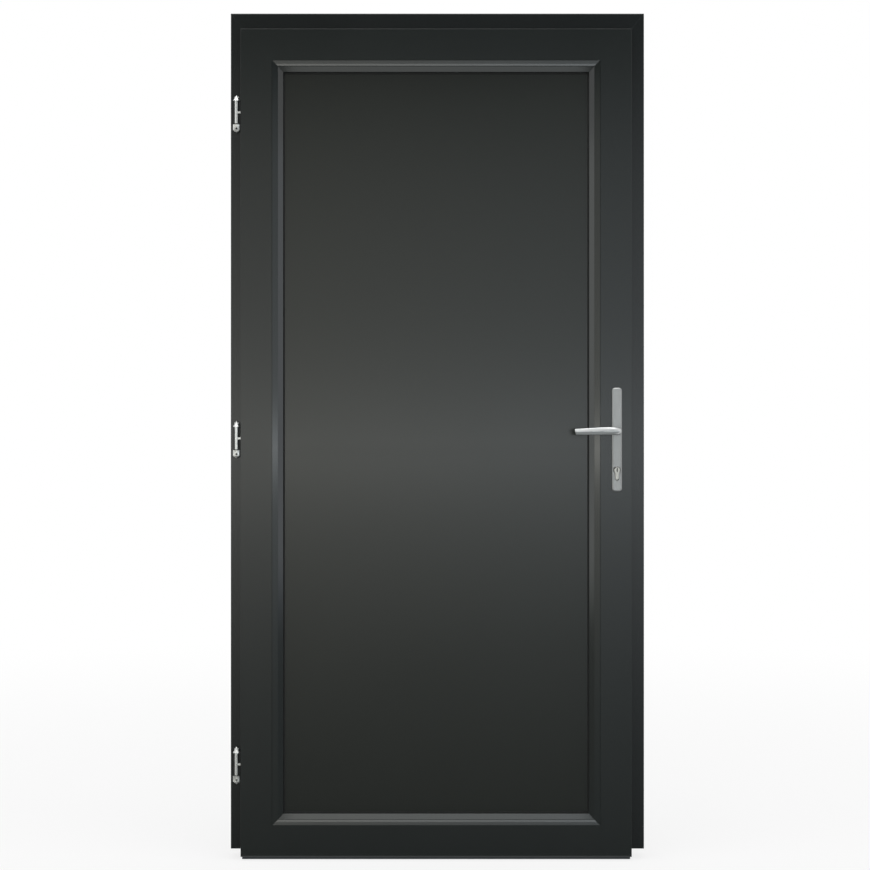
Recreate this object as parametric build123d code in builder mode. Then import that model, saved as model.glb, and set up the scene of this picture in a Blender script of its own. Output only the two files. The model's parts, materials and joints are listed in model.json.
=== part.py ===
"""Front door of plastic profiles: a frame, one hinged leaf with a flat panel, and a lever handle.

The room side faces -Y and the hinges are on the left (-X). The origin is on the underside of the
threshold, at mid width and mid depth of the frame. All sizes are in millimetres.
"""
import os

from build123d import *

# Frame
door_width = 980.0
door_height = 2005.0
frame_depth = 70.0
hinge_sight = 25.0
lock_sight = 31.0
head_sight = 40.0
jamb_foot = 25.0
frame_edge_radius = 2.5

# Leaf: how it overlaps the frame and how far it stands proud
leaf_depth = 70.0
leaf_proud = 18.0
leaf_floor_gap = 9.0
cover = 6.0
rebate_gap = 8.0
stop_cover = 4.0
leaf_edge_radius = 2.5

# Leaf profile, bead and panel
sash_face = 74.0
bead_width = 26.0
bead_setback = 0.6
bead_edge_chamfer = 0.6
bead_flange = 8.5
bead_groove_width = 1.6
bead_groove_depth = 1.3
bead_roll_width = 6.5
bead_roll_drop = 2.4
bead_toe = 10.5
bead_toe_radius = 1.5
outer_leg_depth = 16.0
panel_thickness = 28.0
panel_edge_gap = 5.0
panel_gasket_thickness = 3.0
panel_gasket_reach = 3.0
panel_gasket_width = 11.0

# Seals between leaf and frame
seal_gap = 5.0
seal_clearance = 0.3
leaf_gasket_inset = 1.0
frame_gasket_width = 7.0

# Threshold
threshold_height = 18.0
threshold_inset = 2.0
threshold_end_gap = 0.3

# Hinges
hinge_top_drop = 197.0
hinge_bottom_rise = 218.0
hinge_axis_gap = 10.0
hinge_axis_proud = 12.0
hinge_plate_thickness = 3.0
hinge_plate_width = 16.0
hinge_plate_height = 84.0
hinge_plate_radius = 3.0
pin_radius = 2.25
pin_clearance = 0.05
sleeve_radius = 3.8
sleeve_end_gap = 0.3
head_radius = 8.3
head_tip_radius = 1.2
head_height = 13.5
head_rise = 41.0
head_skirt = 3.0
skirt_clearance = 0.5
foot_radius = 8.5
foot_height = 20.0
foot_point = 7.0
foot_drop = 48.0
foot_socket_radius = 1.8
foot_socket_depth = 3.0
foot_socket_height = 10.5
bracket_width = 10.0
bracket_height = 7.0
lug_height = 5.0
lug_depth = 5.0

# Handle set
handle_edge_gap = 35.5
lever_height = 1015.0
cylinder_drop = 92.0
plate_width = 23.0
plate_height = 245.0
plate_centre_drop = 20.5
plate_thickness = 8.0
plate_corner = 7.0
plate_bevel = 2.5
neck_radius = 9.0
bearing_radius = 8.0
bearing_clearance = 0.05
neck_gap = 0.3
lever_standoff = 32.0
lever_length = 102.0
lever_height_at_hub = 20.0
lever_hub_end = 8.0
lever_tip_height = 15.0
lever_thickness = 11.0
lever_tip_slant = 2.5
lever_round = 2.5
spindle_side = 8.0
spindle_clearance = 0.05
spindle_hold = 22.0
spindle_hole_radius = 10.0

# Lock
cylinder_radius = 8.5
cylinder_tail_width = 10.0
cylinder_height = 33.0
cylinder_proud = 2.5
cylinder_clearance = 0.2
lock_centre_depth = 28.5
faceplate_thickness = 3.0
faceplate_width = 20.0
faceplate_height = 240.0
faceplate_centre_drop = 30.0
faceplate_clearance = 0.1
latch_rise = 38.0
bolt_drop = 46.0
bolt_height = 22.0
bolt_width = 12.0
bolt_length = 26.0
bolt_clearance = 0.3
latch_bevel = 6.0
strike_pocket_depth = 24.0
strike_opening_margin = 1.5

# Fixing holes through the jambs
fixing_radius = 5.0
fixing_end = 175.0
fixing_count = 4

# Worked-out places of the frame
half_width = door_width / 2
face_y = -frame_depth / 2
back_y = frame_depth / 2
lip_length = cover + rebate_gap

# Worked-out places of the leaf: its outer edges, then its faces in depth
leaf_left = -half_width + hinge_sight
leaf_right = half_width - lock_sight
leaf_bottom = leaf_floor_gap
leaf_top = door_height - head_sight
leaf_face_y = face_y - leaf_proud
leaf_back_y = leaf_face_y + leaf_depth
lip_back_y = face_y - seal_gap
stop_y = leaf_back_y + seal_gap
stop_depth = back_y - stop_y
leg_front_y = leaf_back_y - outer_leg_depth
panel_back_y = leg_front_y - panel_gasket_thickness
panel_face_y = panel_back_y - panel_thickness
bead_back_y = panel_face_y - panel_gasket_thickness
bead_edge = sash_face + bead_width

# Worked-out places of the hinges and the lock
hinge_x = leaf_left - hinge_axis_gap
hinge_y = face_y - hinge_axis_proud
handle_x = leaf_right - handle_edge_gap
cylinder_z = lever_height - cylinder_drop
plate_z = lever_height - plate_centre_drop
faceplate_z = lever_height - faceplate_centre_drop
latch_z = lever_height + latch_rise
bolt_z = lever_height - bolt_drop
lock_y = lip_back_y + lock_centre_depth
leaf_side_x = leaf_right - lip_length
jamb_side_x = leaf_right - cover

os.makedirs("parts", exist_ok=True)


def finish(part: Part, name: str) -> Part:
    """Label a finished piece and write its file."""
    part.label = name
    export_step(part, f"parts/{name}.step")
    return part


def leaf_rectangle(inset: float) -> tuple[float, float, float, float]:
    """Left, right, bottom and top of the leaf's outline, moved inward by inset."""
    return leaf_left + inset, leaf_right - inset, leaf_bottom + inset, leaf_top - inset


def front_plane(y: float) -> Plane:
    """Plane of the door's face at depth y. Its normal points at the room."""
    return Plane.XZ.offset(-y)


def mitred_bar(side: str, inset: float, section: Sketch, name: str) -> Part:
    """One side of a mitred ring round the leaf.

    The section's x runs inward from the ring's outline and its y runs towards the room.
    """
    left, right, bottom, top = leaf_rectangle(inset)
    starts = {
        "bottom": ((left, 0, bottom), Vector(1, 0, 0), Vector(0, 0, 1), right - left),
        "lock": ((right, 0, bottom), Vector(0, 0, 1), Vector(-1, 0, 0), top - bottom),
        "top": ((right, 0, top), Vector(-1, 0, 0), Vector(0, 0, -1), right - left),
        "hinge": ((left, 0, top), Vector(0, 0, -1), Vector(1, 0, 0), top - bottom),
    }
    corner, along, inward, length = starts[side]
    start = Vector(*corner)
    with BuildPart() as bar:
        with BuildSketch(Plane(origin=start, x_dir=inward, z_dir=along)):
            add(section)
        extrude(amount=length)
        split(bisect_by=Plane(origin=start, z_dir=along - inward), keep=Keep.TOP)
        split(bisect_by=Plane(origin=start + along * length, z_dir=(along + inward) * -1), keep=Keep.TOP)
    return finish(bar.part, name)


def ring(outer_inset: float, inner_inset: float, y_room: float, y_back: float, name: str) -> Part:
    """A flat seal that runs round the leaf between two insets and two depths."""
    left, right, bottom, top = leaf_rectangle(outer_inset)
    in_left, in_right, in_bottom, in_top = leaf_rectangle(inner_inset)
    with BuildPart() as seal:
        with BuildSketch(front_plane(y_back)):
            with Locations(((left + right) / 2, (bottom + top) / 2)):
                Rectangle(right - left, top - bottom)
                Rectangle(in_right - in_left, in_top - in_bottom, mode=Mode.SUBTRACT)
        extrude(amount=y_back - y_room)
    return finish(seal.part, name)


def cylinder_outline(clearance: float) -> Sketch:
    """Outline of a profile cylinder: a round head with a narrower tail below it."""
    with BuildSketch() as outline:
        Circle(cylinder_radius + clearance)
        tail_radius = cylinder_tail_width / 2
        tail_centre = cylinder_radius + tail_radius - cylinder_height
        with Locations((0, tail_centre / 2)):
            Rectangle(cylinder_tail_width + 2 * clearance, -tail_centre)
        with Locations((0, tail_centre)):
            Circle(tail_radius + clearance)
    return outline.sketch


def strike_recess() -> Part:
    """Seat of the strike plate in the lock jamb, with the pockets behind its openings."""
    seat = Plane(origin=(jamb_side_x, lock_y, 0), x_dir=(0, 1, 0), z_dir=(1, 0, 0))
    with BuildPart() as recess:
        with BuildSketch(seat):
            with Locations((0, faceplate_z)):
                RectangleRounded(
                    faceplate_width + 2 * faceplate_clearance,
                    faceplate_height + 2 * faceplate_clearance,
                    faceplate_width / 2,
                )
        extrude(amount=faceplate_thickness)
        with BuildSketch(seat):
            with Locations((0, latch_z), (0, bolt_z)):
                Rectangle(bolt_width + 2 * strike_opening_margin, bolt_height + 2 * strike_opening_margin)
        extrude(amount=strike_pocket_depth)
    return recess.part


# Frame: two jambs and a head, mitred at the top corners
def jamb(side: float, sight: float, name: str) -> Part:
    """One jamb, with its indoor body and its narrower outdoor stop. side is -1 or 1."""
    edge = half_width
    body_edge = half_width - sight - cover
    stop_edge = body_edge - rebate_gap - stop_cover
    head_body = leaf_top - cover
    head_stop = head_body - rebate_gap - stop_cover
    with BuildPart() as post:
        with BuildSketch(front_plane(stop_y)):
            with BuildLine():
                Polyline(
                    (side * edge, jamb_foot),
                    (side * edge, door_height),
                    (side * body_edge, head_body),
                    (side * body_edge, jamb_foot),
                    close=True,
                )
            make_face()
        extrude(amount=stop_y - face_y)
        long_edges = edges().filter_by(Axis.Z).group_by(Axis.Y)[0]
        fillet(long_edges, frame_edge_radius)
        with BuildSketch(front_plane(back_y)):
            with BuildLine():
                Polyline(
                    (side * edge, jamb_foot),
                    (side * edge, door_height),
                    (side * stop_edge, head_stop),
                    (side * stop_edge, jamb_foot),
                    close=True,
                )
            make_face()
        extrude(amount=stop_depth)
        # Fixing holes that run through the body into the wall
        first = jamb_foot + fixing_end
        pitch = (door_height - fixing_end - first) / (fixing_count - 1)
        rows = [first + row * pitch for row in range(fixing_count)]
        with BuildSketch(Plane(origin=(0, 0, 0), x_dir=(0, 1, 0), z_dir=(side, 0, 0))):
            with Locations(*[((face_y + stop_y) / 2, side * row) for row in rows]):
                Circle(fixing_radius)
        extrude(amount=edge, mode=Mode.SUBTRACT)
        if side > 0:
            add(strike_recess(), mode=Mode.SUBTRACT)
    return finish(post.part, name)


frame_jamb_hinge = jamb(-1, hinge_sight, "frame_jamb_hinge")
frame_jamb_lock = jamb(1, lock_sight, "frame_jamb_lock")

head_body_z = leaf_top - cover
head_stop_z = head_body_z - rebate_gap - stop_cover
body_left = leaf_left + cover
body_right = leaf_right - cover
stop_left = body_left + rebate_gap + stop_cover
stop_right = body_right - rebate_gap - stop_cover

with BuildPart() as frame_head:
    with BuildSketch(front_plane(stop_y)):
        with BuildLine():
            Polyline(
                (-half_width, door_height),
                (half_width, door_height),
                (body_right, head_body_z),
                (body_left, head_body_z),
                close=True,
            )
        make_face()
    extrude(amount=stop_y - face_y)
    fillet(edges().filter_by(Axis.X).group_by(Axis.Y)[0], frame_edge_radius)
    with BuildSketch(front_plane(back_y)):
        with BuildLine():
            Polyline(
                (-half_width, door_height),
                (half_width, door_height),
                (stop_right, head_stop_z),
                (stop_left, head_stop_z),
                close=True,
            )
        make_face()
    extrude(amount=stop_depth)
finish(frame_head.part, "frame_head")

# Threshold: a low sill hidden behind the leaf, with an upstand as its outdoor stop
threshold_left = leaf_left + threshold_inset
threshold_right = leaf_right - threshold_inset
upstand_left = stop_left + threshold_end_gap
upstand_right = stop_right - threshold_end_gap
upstand_top = leaf_bottom + lip_length + stop_cover

with BuildPart() as threshold:
    with BuildSketch(Plane.XY):
        with Locations(((threshold_left + threshold_right) / 2, 0)):
            Rectangle(threshold_right - threshold_left, frame_depth)
    extrude(amount=threshold_height)
    with BuildSketch(Plane.XY.offset(threshold_height)):
        with Locations(((upstand_left + upstand_right) / 2, (stop_y + back_y) / 2)):
            Rectangle(upstand_right - upstand_left, stop_depth)
    extrude(amount=upstand_top - threshold_height)
finish(threshold.part, "threshold")

# Plastic blocks that carry the jambs on the ends of the threshold
block_depths = ((face_y, stop_y), (stop_y, back_y))
block_spans = {
    "hinge": ((threshold_left, body_left), (threshold_left, stop_left)),
    "lock": ((body_right, threshold_right), (stop_right, threshold_right)),
}
for block_side, spans in block_spans.items():
    with BuildPart() as threshold_block:
        with BuildSketch(Plane.XY.offset(threshold_height)):
            for (x_from, x_to), (y_from, y_to) in zip(spans, block_depths):
                with Locations(((x_from + x_to) / 2, (y_from + y_to) / 2)):
                    Rectangle(x_to - x_from, y_to - y_from)
        extrude(amount=jamb_foot - threshold_height)
    finish(threshold_block.part, f"threshold_block_{block_side}")

# Seal on the frame's stop, which the back of the leaf closes against
frame_gasket = ring(
    lip_length + stop_cover - frame_gasket_width,
    lip_length + stop_cover,
    leaf_back_y + seal_clearance,
    stop_y,
    "frame_gasket",
)

# Strike plate, let into the lock jamb
with BuildPart() as strike_plate:
    with BuildSketch(Plane(origin=(jamb_side_x, lock_y, 0), x_dir=(0, 1, 0), z_dir=(1, 0, 0))):
        with Locations((0, faceplate_z)):
            RectangleRounded(faceplate_width, faceplate_height, faceplate_width / 2 - faceplate_clearance)
        with Locations((0, latch_z), (0, bolt_z)):
            Rectangle(
                bolt_width + 2 * strike_opening_margin,
                bolt_height + 2 * strike_opening_margin,
                mode=Mode.SUBTRACT,
            )
    extrude(amount=faceplate_thickness)
finish(strike_plate.part, "strike_plate")

# Leaf: four mitred profiles of one section
with BuildSketch() as sash_section:
    with BuildLine():
        Polyline(
            (0, -leaf_face_y),
            (sash_face, -leaf_face_y),
            (sash_face, -leg_front_y),
            (bead_edge, -leg_front_y),
            (bead_edge, -leaf_back_y),
            (lip_length, -leaf_back_y),
            (lip_length, -lip_back_y),
            (0, -lip_back_y),
            close=True,
        )
    make_face()
    front_corner = sash_section.vertices().sort_by(Axis.X)[0:2].sort_by(Axis.Y)[-1:]
    leg_corner = sash_section.vertices().sort_by(Axis.X)[-2:].sort_by(Axis.Y)[0:1]
    fillet(front_corner + leg_corner, leaf_edge_radius)


def lock_stile() -> Part:
    """The lock stile, bored for the spindle, the cylinder and the lock's bolts."""
    bar = mitred_bar("lock", 0, sash_section.sketch, "leaf_stile_lock")
    with BuildPart() as stile:
        add(bar)
        with BuildSketch(front_plane(leaf_back_y)):
            with Locations((handle_x, lever_height)):
                Circle(spindle_hole_radius)
            with Locations((handle_x, cylinder_z)):
                add(cylinder_outline(cylinder_clearance))
        extrude(amount=leaf_depth, mode=Mode.SUBTRACT)
        seat = Plane(origin=(leaf_side_x, lock_y, 0), x_dir=(0, -1, 0), z_dir=(-1, 0, 0))
        with BuildSketch(seat):
            with Locations((0, faceplate_z)):
                RectangleRounded(
                    faceplate_width + 2 * faceplate_clearance,
                    faceplate_height + 2 * faceplate_clearance,
                    faceplate_width / 2,
                )
        extrude(amount=faceplate_thickness, mode=Mode.SUBTRACT)
        with BuildSketch(seat):
            with Locations((0, latch_z), (0, bolt_z)):
                Rectangle(bolt_width + 2 * bolt_clearance, bolt_height + 2 * bolt_clearance)
        extrude(amount=bolt_length + bolt_clearance, mode=Mode.SUBTRACT)
    return finish(stile.part, "leaf_stile_lock")


leaf_stile_hinge = mitred_bar("hinge", 0, sash_section.sketch, "leaf_stile_hinge")
leaf_rail_top = mitred_bar("top", 0, sash_section.sketch, "leaf_rail_top")
leaf_rail_bottom = mitred_bar("bottom", 0, sash_section.sketch, "leaf_rail_bottom")
leaf_stile_lock = lock_stile()

# Glazing beads: a flat flange, a fine groove, a rounded roll, then a slope down to the panel
with BuildSketch() as bead_section:
    bead_front = -leaf_face_y - bead_setback
    bead_back = -bead_back_y
    groove_end = bead_flange + bead_groove_width
    groove_floor = bead_front - bead_groove_depth
    roll_end = groove_end + bead_roll_width
    roll_foot = bead_front - bead_roll_drop
    with BuildLine():
        Polyline(
            (bead_width, bead_back + bead_toe),
            (bead_width, bead_back),
            (0, bead_back),
            (0, bead_front - bead_edge_chamfer),
            (bead_edge_chamfer, bead_front),
            (bead_flange, bead_front),
            (bead_flange + bead_groove_width / 2, groove_floor),
        )
        ThreePointArc(
            (bead_flange + bead_groove_width / 2, groove_floor),
            ((groove_end + roll_end) / 2, bead_front),
            (roll_end, roll_foot),
        )
        Line((roll_end, roll_foot), (bead_width, bead_back + bead_toe))
    make_face()
    toe_corner = bead_section.vertices().group_by(Axis.X)[-1].sort_by(Axis.Y)[-1]
    fillet(toe_corner, bead_toe_radius)

for bead_side in ("hinge", "lock", "top", "bottom"):
    mitred_bar(bead_side, sash_face, bead_section.sketch, f"bead_{bead_side}")

# Flat panel and its seals
panel_left, panel_right, panel_bottom, panel_top = leaf_rectangle(sash_face + panel_edge_gap)
with BuildPart() as door_panel:
    with BuildSketch(front_plane(panel_back_y)):
        with Locations(((panel_left + panel_right) / 2, (panel_bottom + panel_top) / 2)):
            Rectangle(panel_right - panel_left, panel_top - panel_bottom)
    extrude(amount=panel_thickness)
finish(door_panel.part, "door_panel")

gasket_inner_edge = bead_edge + panel_gasket_reach
gasket_outer_edge = gasket_inner_edge - panel_gasket_width
for seal_side, seal_front_y, seal_back_y in (
    ("inside", bead_back_y, panel_face_y),
    ("outside", panel_back_y, leg_front_y),
):
    ring(gasket_outer_edge, gasket_inner_edge, seal_front_y, seal_back_y, f"panel_gasket_{seal_side}")

# Seal behind the leaf's lip, which closes against the room face of the frame
leaf_gasket = ring(leaf_gasket_inset, cover, lip_back_y, face_y - seal_clearance, "leaf_gasket")

# Lock: faceplate, latch and dead bolt in the edge of the leaf, both drawn in
with BuildPart() as lock_faceplate:
    with BuildSketch(Plane(origin=(leaf_side_x, lock_y, 0), x_dir=(0, -1, 0), z_dir=(-1, 0, 0))):
        with Locations((0, faceplate_z)):
            RectangleRounded(faceplate_width, faceplate_height, faceplate_width / 2 - faceplate_clearance)
        with Locations((0, latch_z), (0, bolt_z)):
            Rectangle(bolt_width + 2 * bolt_clearance, bolt_height + 2 * bolt_clearance, mode=Mode.SUBTRACT)
    extrude(amount=faceplate_thickness)
finish(lock_faceplate.part, "lock_faceplate")

for bolt_name, bolt_centre, nose_bevel in (("latch_bolt", latch_z, latch_bevel), ("dead_bolt", bolt_z, 0.0)):
    bolt_face = Plane(origin=(leaf_side_x, lock_y, bolt_centre), x_dir=(0, -1, 0), z_dir=(-1, 0, 0))
    with BuildPart() as bolt:
        with BuildSketch(bolt_face):
            Rectangle(bolt_width, bolt_height)
        extrude(amount=bolt_length)
        if nose_bevel:
            nose = bolt.edges().filter_by(Axis.Z).group_by(Axis.X)[-1].sort_by(Axis.Y)[0]
            chamfer(nose, nose_bevel)
    finish(bolt.part, bolt_name)

with BuildPart() as lock_cylinder:
    with BuildSketch(front_plane(leaf_back_y + plate_thickness + cylinder_proud)):
        with Locations((handle_x, cylinder_z)):
            add(cylinder_outline(0))
    extrude(amount=leaf_depth + 2 * (plate_thickness + cylinder_proud))
finish(lock_cylinder.part, "lock_cylinder")


def handle_plate(side: float, seat_y: float, name: str) -> Part:
    """Long narrow plate on one face of the leaf. side is -1 for the room side, 1 for outdoors."""
    plane = Plane(origin=(handle_x, seat_y, 0), x_dir=(-side, 0, 0), z_dir=(0, side, 0))
    with BuildPart() as plate:
        with BuildSketch(plane):
            with Locations((0, plate_z)):
                RectangleRounded(plate_width, plate_height, plate_corner)
        extrude(amount=plate_thickness)
        outer_face = faces().sort_by(Axis.Y)[0 if side < 0 else -1]
        chamfer(outer_face.edges(), plate_bevel)
        with BuildSketch(plane):
            with Locations((0, lever_height)):
                Circle(bearing_radius + bearing_clearance)
            with Locations((0, cylinder_z)):
                add(cylinder_outline(cylinder_clearance))
        extrude(amount=plate_thickness, mode=Mode.SUBTRACT)
    return finish(plate.part, name)


handle_plate_inside = handle_plate(-1, leaf_face_y, "handle_plate_inside")
handle_plate_outside = handle_plate(1, leaf_back_y, "handle_plate_outside")


def lever(side: float, seat_y: float, name: str) -> Part:
    """Lever with its neck, turning in the plate. It points at the hinges on both faces."""
    plane = Plane(origin=(handle_x, seat_y, lever_height), x_dir=(-side, 0, 0), z_dir=(0, side, 0))
    bottom_z = -lever_height_at_hub / 2
    top_z = lever_height_at_hub / 2
    tip_x = side * lever_length
    tip_top_z = bottom_z + lever_tip_height
    tip_top_x = side * (lever_length - lever_tip_slant)
    with BuildPart() as handle:
        with BuildSketch(plane.offset(plate_thickness + lever_standoff)):
            with BuildLine():
                Line((0, bottom_z), (tip_x, bottom_z))
                Line((tip_x, bottom_z), (tip_top_x, tip_top_z))
                Line((tip_top_x, tip_top_z), (0, top_z))
                ThreePointArc((0, top_z), (-side * lever_hub_end, 0), (0, bottom_z))
            make_face()
        extrude(amount=lever_thickness)
        fillet(faces().sort_by(Axis.Y)[0 if side < 0 else -1].edges(), lever_round)
        with BuildSketch(plane.offset(plate_thickness + neck_gap)):
            Circle(neck_radius)
        extrude(amount=lever_standoff - neck_gap)
        with BuildSketch(plane):
            Circle(bearing_radius)
        extrude(amount=plate_thickness + neck_gap)
        with BuildSketch(plane):
            Rectangle(spindle_side + 2 * spindle_clearance, spindle_side + 2 * spindle_clearance)
        extrude(amount=spindle_hold + spindle_clearance, mode=Mode.SUBTRACT)
    return finish(handle.part, name)


lever_inside = lever(-1, leaf_face_y, "lever_inside")
lever_outside = lever(1, leaf_back_y, "lever_outside")

with BuildPart() as spindle:
    with BuildSketch(front_plane(leaf_back_y + spindle_hold)):
        with Locations((handle_x, lever_height)):
            Rectangle(spindle_side, spindle_side)
    extrude(amount=leaf_depth + 2 * spindle_hold)
finish(spindle.part, "spindle")


# Hinges: a plate on the jamb, a pin held by two heads on it, and a sleeve with a lug on the leaf
def hinge(place: str, height: float) -> None:
    """One hinge, with its lug at the given height."""
    plate_front = face_y - hinge_plate_thickness
    head_top = height + head_rise
    head_base = head_top - head_height
    foot_base = height - foot_drop
    foot_top = foot_base + foot_height
    sleeve_top = head_base + head_skirt - sleeve_end_gap
    sleeve_bottom = foot_top + sleeve_end_gap
    plate_centre = (head_top + foot_base) / 2

    with BuildPart() as hinge_plate:
        with BuildSketch(front_plane(face_y)):
            with Locations((hinge_x, plate_centre)):
                RectangleRounded(hinge_plate_width, hinge_plate_height, hinge_plate_radius)
        extrude(amount=hinge_plate_thickness)
    finish(hinge_plate.part, f"hinge_plate_{place}")

    with BuildPart() as hinge_pin:
        with BuildSketch(Plane(origin=(hinge_x, hinge_y, 0), x_dir=(1, 0, 0), z_dir=(0, -1, 0))):
            with BuildLine():
                Polyline(
                    (0, head_top),
                    (head_tip_radius, head_top),
                    (head_radius, head_base),
                    (sleeve_radius + skirt_clearance, head_base),
                    (sleeve_radius + skirt_clearance, head_base + head_skirt),
                    (pin_radius, head_base + head_skirt),
                    (pin_radius, foot_top),
                    (foot_radius, foot_top),
                    (foot_radius, foot_base + foot_point),
                    (0, foot_base),
                    close=True,
                )
            make_face()
        revolve(axis=Axis((hinge_x, hinge_y, 0), (0, 0, 1)))
        bracket_heights = (head_base + head_skirt + bracket_height / 2, foot_top - bracket_height)
        with BuildSketch(front_plane(plate_front)):
            with Locations(*[(hinge_x, bracket_z) for bracket_z in bracket_heights]):
                Rectangle(bracket_width, bracket_height)
        extrude(amount=hinge_axis_proud - hinge_plate_thickness)
        # Socket of the set screw in the front of the lower bearing
        with BuildSketch(front_plane(hinge_y - foot_radius + foot_socket_depth)):
            with Locations((hinge_x, foot_base + foot_socket_height)):
                Circle(foot_socket_radius)
        extrude(amount=foot_socket_depth, mode=Mode.SUBTRACT)
    finish(hinge_pin.part, f"hinge_pin_{place}")

    with BuildPart() as hinge_arm:
        with BuildSketch(Plane.XY.offset(sleeve_bottom)):
            with Locations((hinge_x, hinge_y)):
                Circle(sleeve_radius)
        extrude(amount=sleeve_top - sleeve_bottom)
        with BuildSketch(Plane.XY.offset(height - lug_height / 2)):
            with Locations((hinge_x + hinge_axis_gap / 2, hinge_y)):
                Rectangle(hinge_axis_gap, lug_depth)
        extrude(amount=lug_height)
        with BuildSketch(Plane.XY.offset(sleeve_bottom)):
            with Locations((hinge_x, hinge_y)):
                Circle(pin_radius + pin_clearance)
        extrude(amount=sleeve_top - sleeve_bottom, mode=Mode.SUBTRACT)
    finish(hinge_arm.part, f"hinge_arm_{place}")


top_hinge_z = leaf_top - hinge_top_drop
bottom_hinge_z = leaf_bottom + hinge_bottom_rise
hinge("top", top_hinge_z)
hinge("middle", (top_hinge_z + bottom_hinge_z) / 2)
hinge("bottom", bottom_hinge_z)
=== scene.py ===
"""Looks of a grey entrance door of plastic profiles, with a satin lever handle and pin hinges.

Everything is in metres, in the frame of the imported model: the room side faces -Y, the hinges are
on the left (-X) and the door stands on z = 0.
"""
import json
import logging
import math
from dataclasses import dataclass, field
from enum import Enum
from typing import Callable

import bpy
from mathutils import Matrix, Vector


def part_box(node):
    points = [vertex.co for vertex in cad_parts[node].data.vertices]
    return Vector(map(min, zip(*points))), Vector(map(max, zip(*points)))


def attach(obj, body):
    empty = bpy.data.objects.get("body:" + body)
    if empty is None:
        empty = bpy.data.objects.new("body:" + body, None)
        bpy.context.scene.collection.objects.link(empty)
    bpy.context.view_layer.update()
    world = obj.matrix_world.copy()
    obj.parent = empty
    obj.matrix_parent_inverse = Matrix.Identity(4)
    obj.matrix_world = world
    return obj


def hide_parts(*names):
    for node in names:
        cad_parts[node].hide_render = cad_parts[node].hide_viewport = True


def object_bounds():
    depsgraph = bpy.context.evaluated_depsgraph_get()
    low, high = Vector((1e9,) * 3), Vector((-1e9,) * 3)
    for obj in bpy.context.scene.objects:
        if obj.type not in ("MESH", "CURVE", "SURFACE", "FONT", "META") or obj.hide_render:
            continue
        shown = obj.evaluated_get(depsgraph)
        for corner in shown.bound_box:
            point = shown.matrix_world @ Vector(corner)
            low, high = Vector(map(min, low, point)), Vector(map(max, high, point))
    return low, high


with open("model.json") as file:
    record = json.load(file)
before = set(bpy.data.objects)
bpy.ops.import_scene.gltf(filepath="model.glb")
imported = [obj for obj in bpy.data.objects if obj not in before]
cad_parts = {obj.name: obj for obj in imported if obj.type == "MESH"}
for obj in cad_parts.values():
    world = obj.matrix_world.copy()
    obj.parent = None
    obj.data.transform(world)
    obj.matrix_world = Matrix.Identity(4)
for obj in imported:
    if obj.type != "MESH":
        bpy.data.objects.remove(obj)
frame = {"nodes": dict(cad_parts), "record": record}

CAD_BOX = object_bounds()
LOG = logging.getLogger("door")
MM = 0.001
# Corners this close are one point, and faces that meet flatter than this are one face
MERGE_MM = 0.01
FLAT_DEG = 0.6
# Edges blunter than this are shaded smooth
SMOOTH_DEG = 35.0
# Edges sharper than this are bevelled, the second on small turned parts
EDGE_DEG = 28.0
TURNED_EDGE_DEG = 40.0
Colour = tuple[float, float, float, float]


class Side(Enum):
    """The two faces of the door. The value is the sign of that face's outward Y."""

    ROOM = -1
    OUTDOORS = 1


def linear_colour(code: str) -> Colour:
    """Turn an sRGB hex colour to linear values.

    Args:
        code: Six hex digits, with or without a leading hash.

    Returns:
        Linear red, green, blue and an alpha of 1.
    """
    digits = code.lstrip("#")
    values = [int(digits[at:at + 2], 16) / 255 for at in (0, 2, 4)]
    return (*[v / 12.92 if v <= 0.04045 else ((v + 0.055) / 1.055) ** 2.4 for v in values], 1.0)


def add_node(
    tree: bpy.types.NodeTree,
    kind: str,
    settings: dict[str | int, object] | None = None,
    links: dict[str | int, object] | None = None,
) -> bpy.types.Node:
    """Add a node with its settings and its links.

    Args:
        tree: Node tree that gets the node.
        kind: Blender's name of the node's type.
        settings: Attributes of the node, or default values of its input sockets.
        links: Input socket to the output socket that feeds it.

    Returns:
        The new node.
    """
    made = tree.nodes.new(kind)
    for key, value in (settings or {}).items():
        if isinstance(key, str) and hasattr(made, key):
            setattr(made, key, value)
        else:
            made.inputs[key].default_value = value
    for key, source in (links or {}).items():
        tree.links.new(source, made.inputs[key])
    return made


def blank_material(name: str) -> tuple[bpy.types.Material, bpy.types.NodeTree]:
    """Make a node material with no nodes.

    Args:
        name: The material's name.

    Returns:
        The material and its node tree.
    """
    material = bpy.data.materials.new(name)
    material.use_nodes = True
    material.node_tree.nodes.clear()
    return material, material.node_tree


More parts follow.
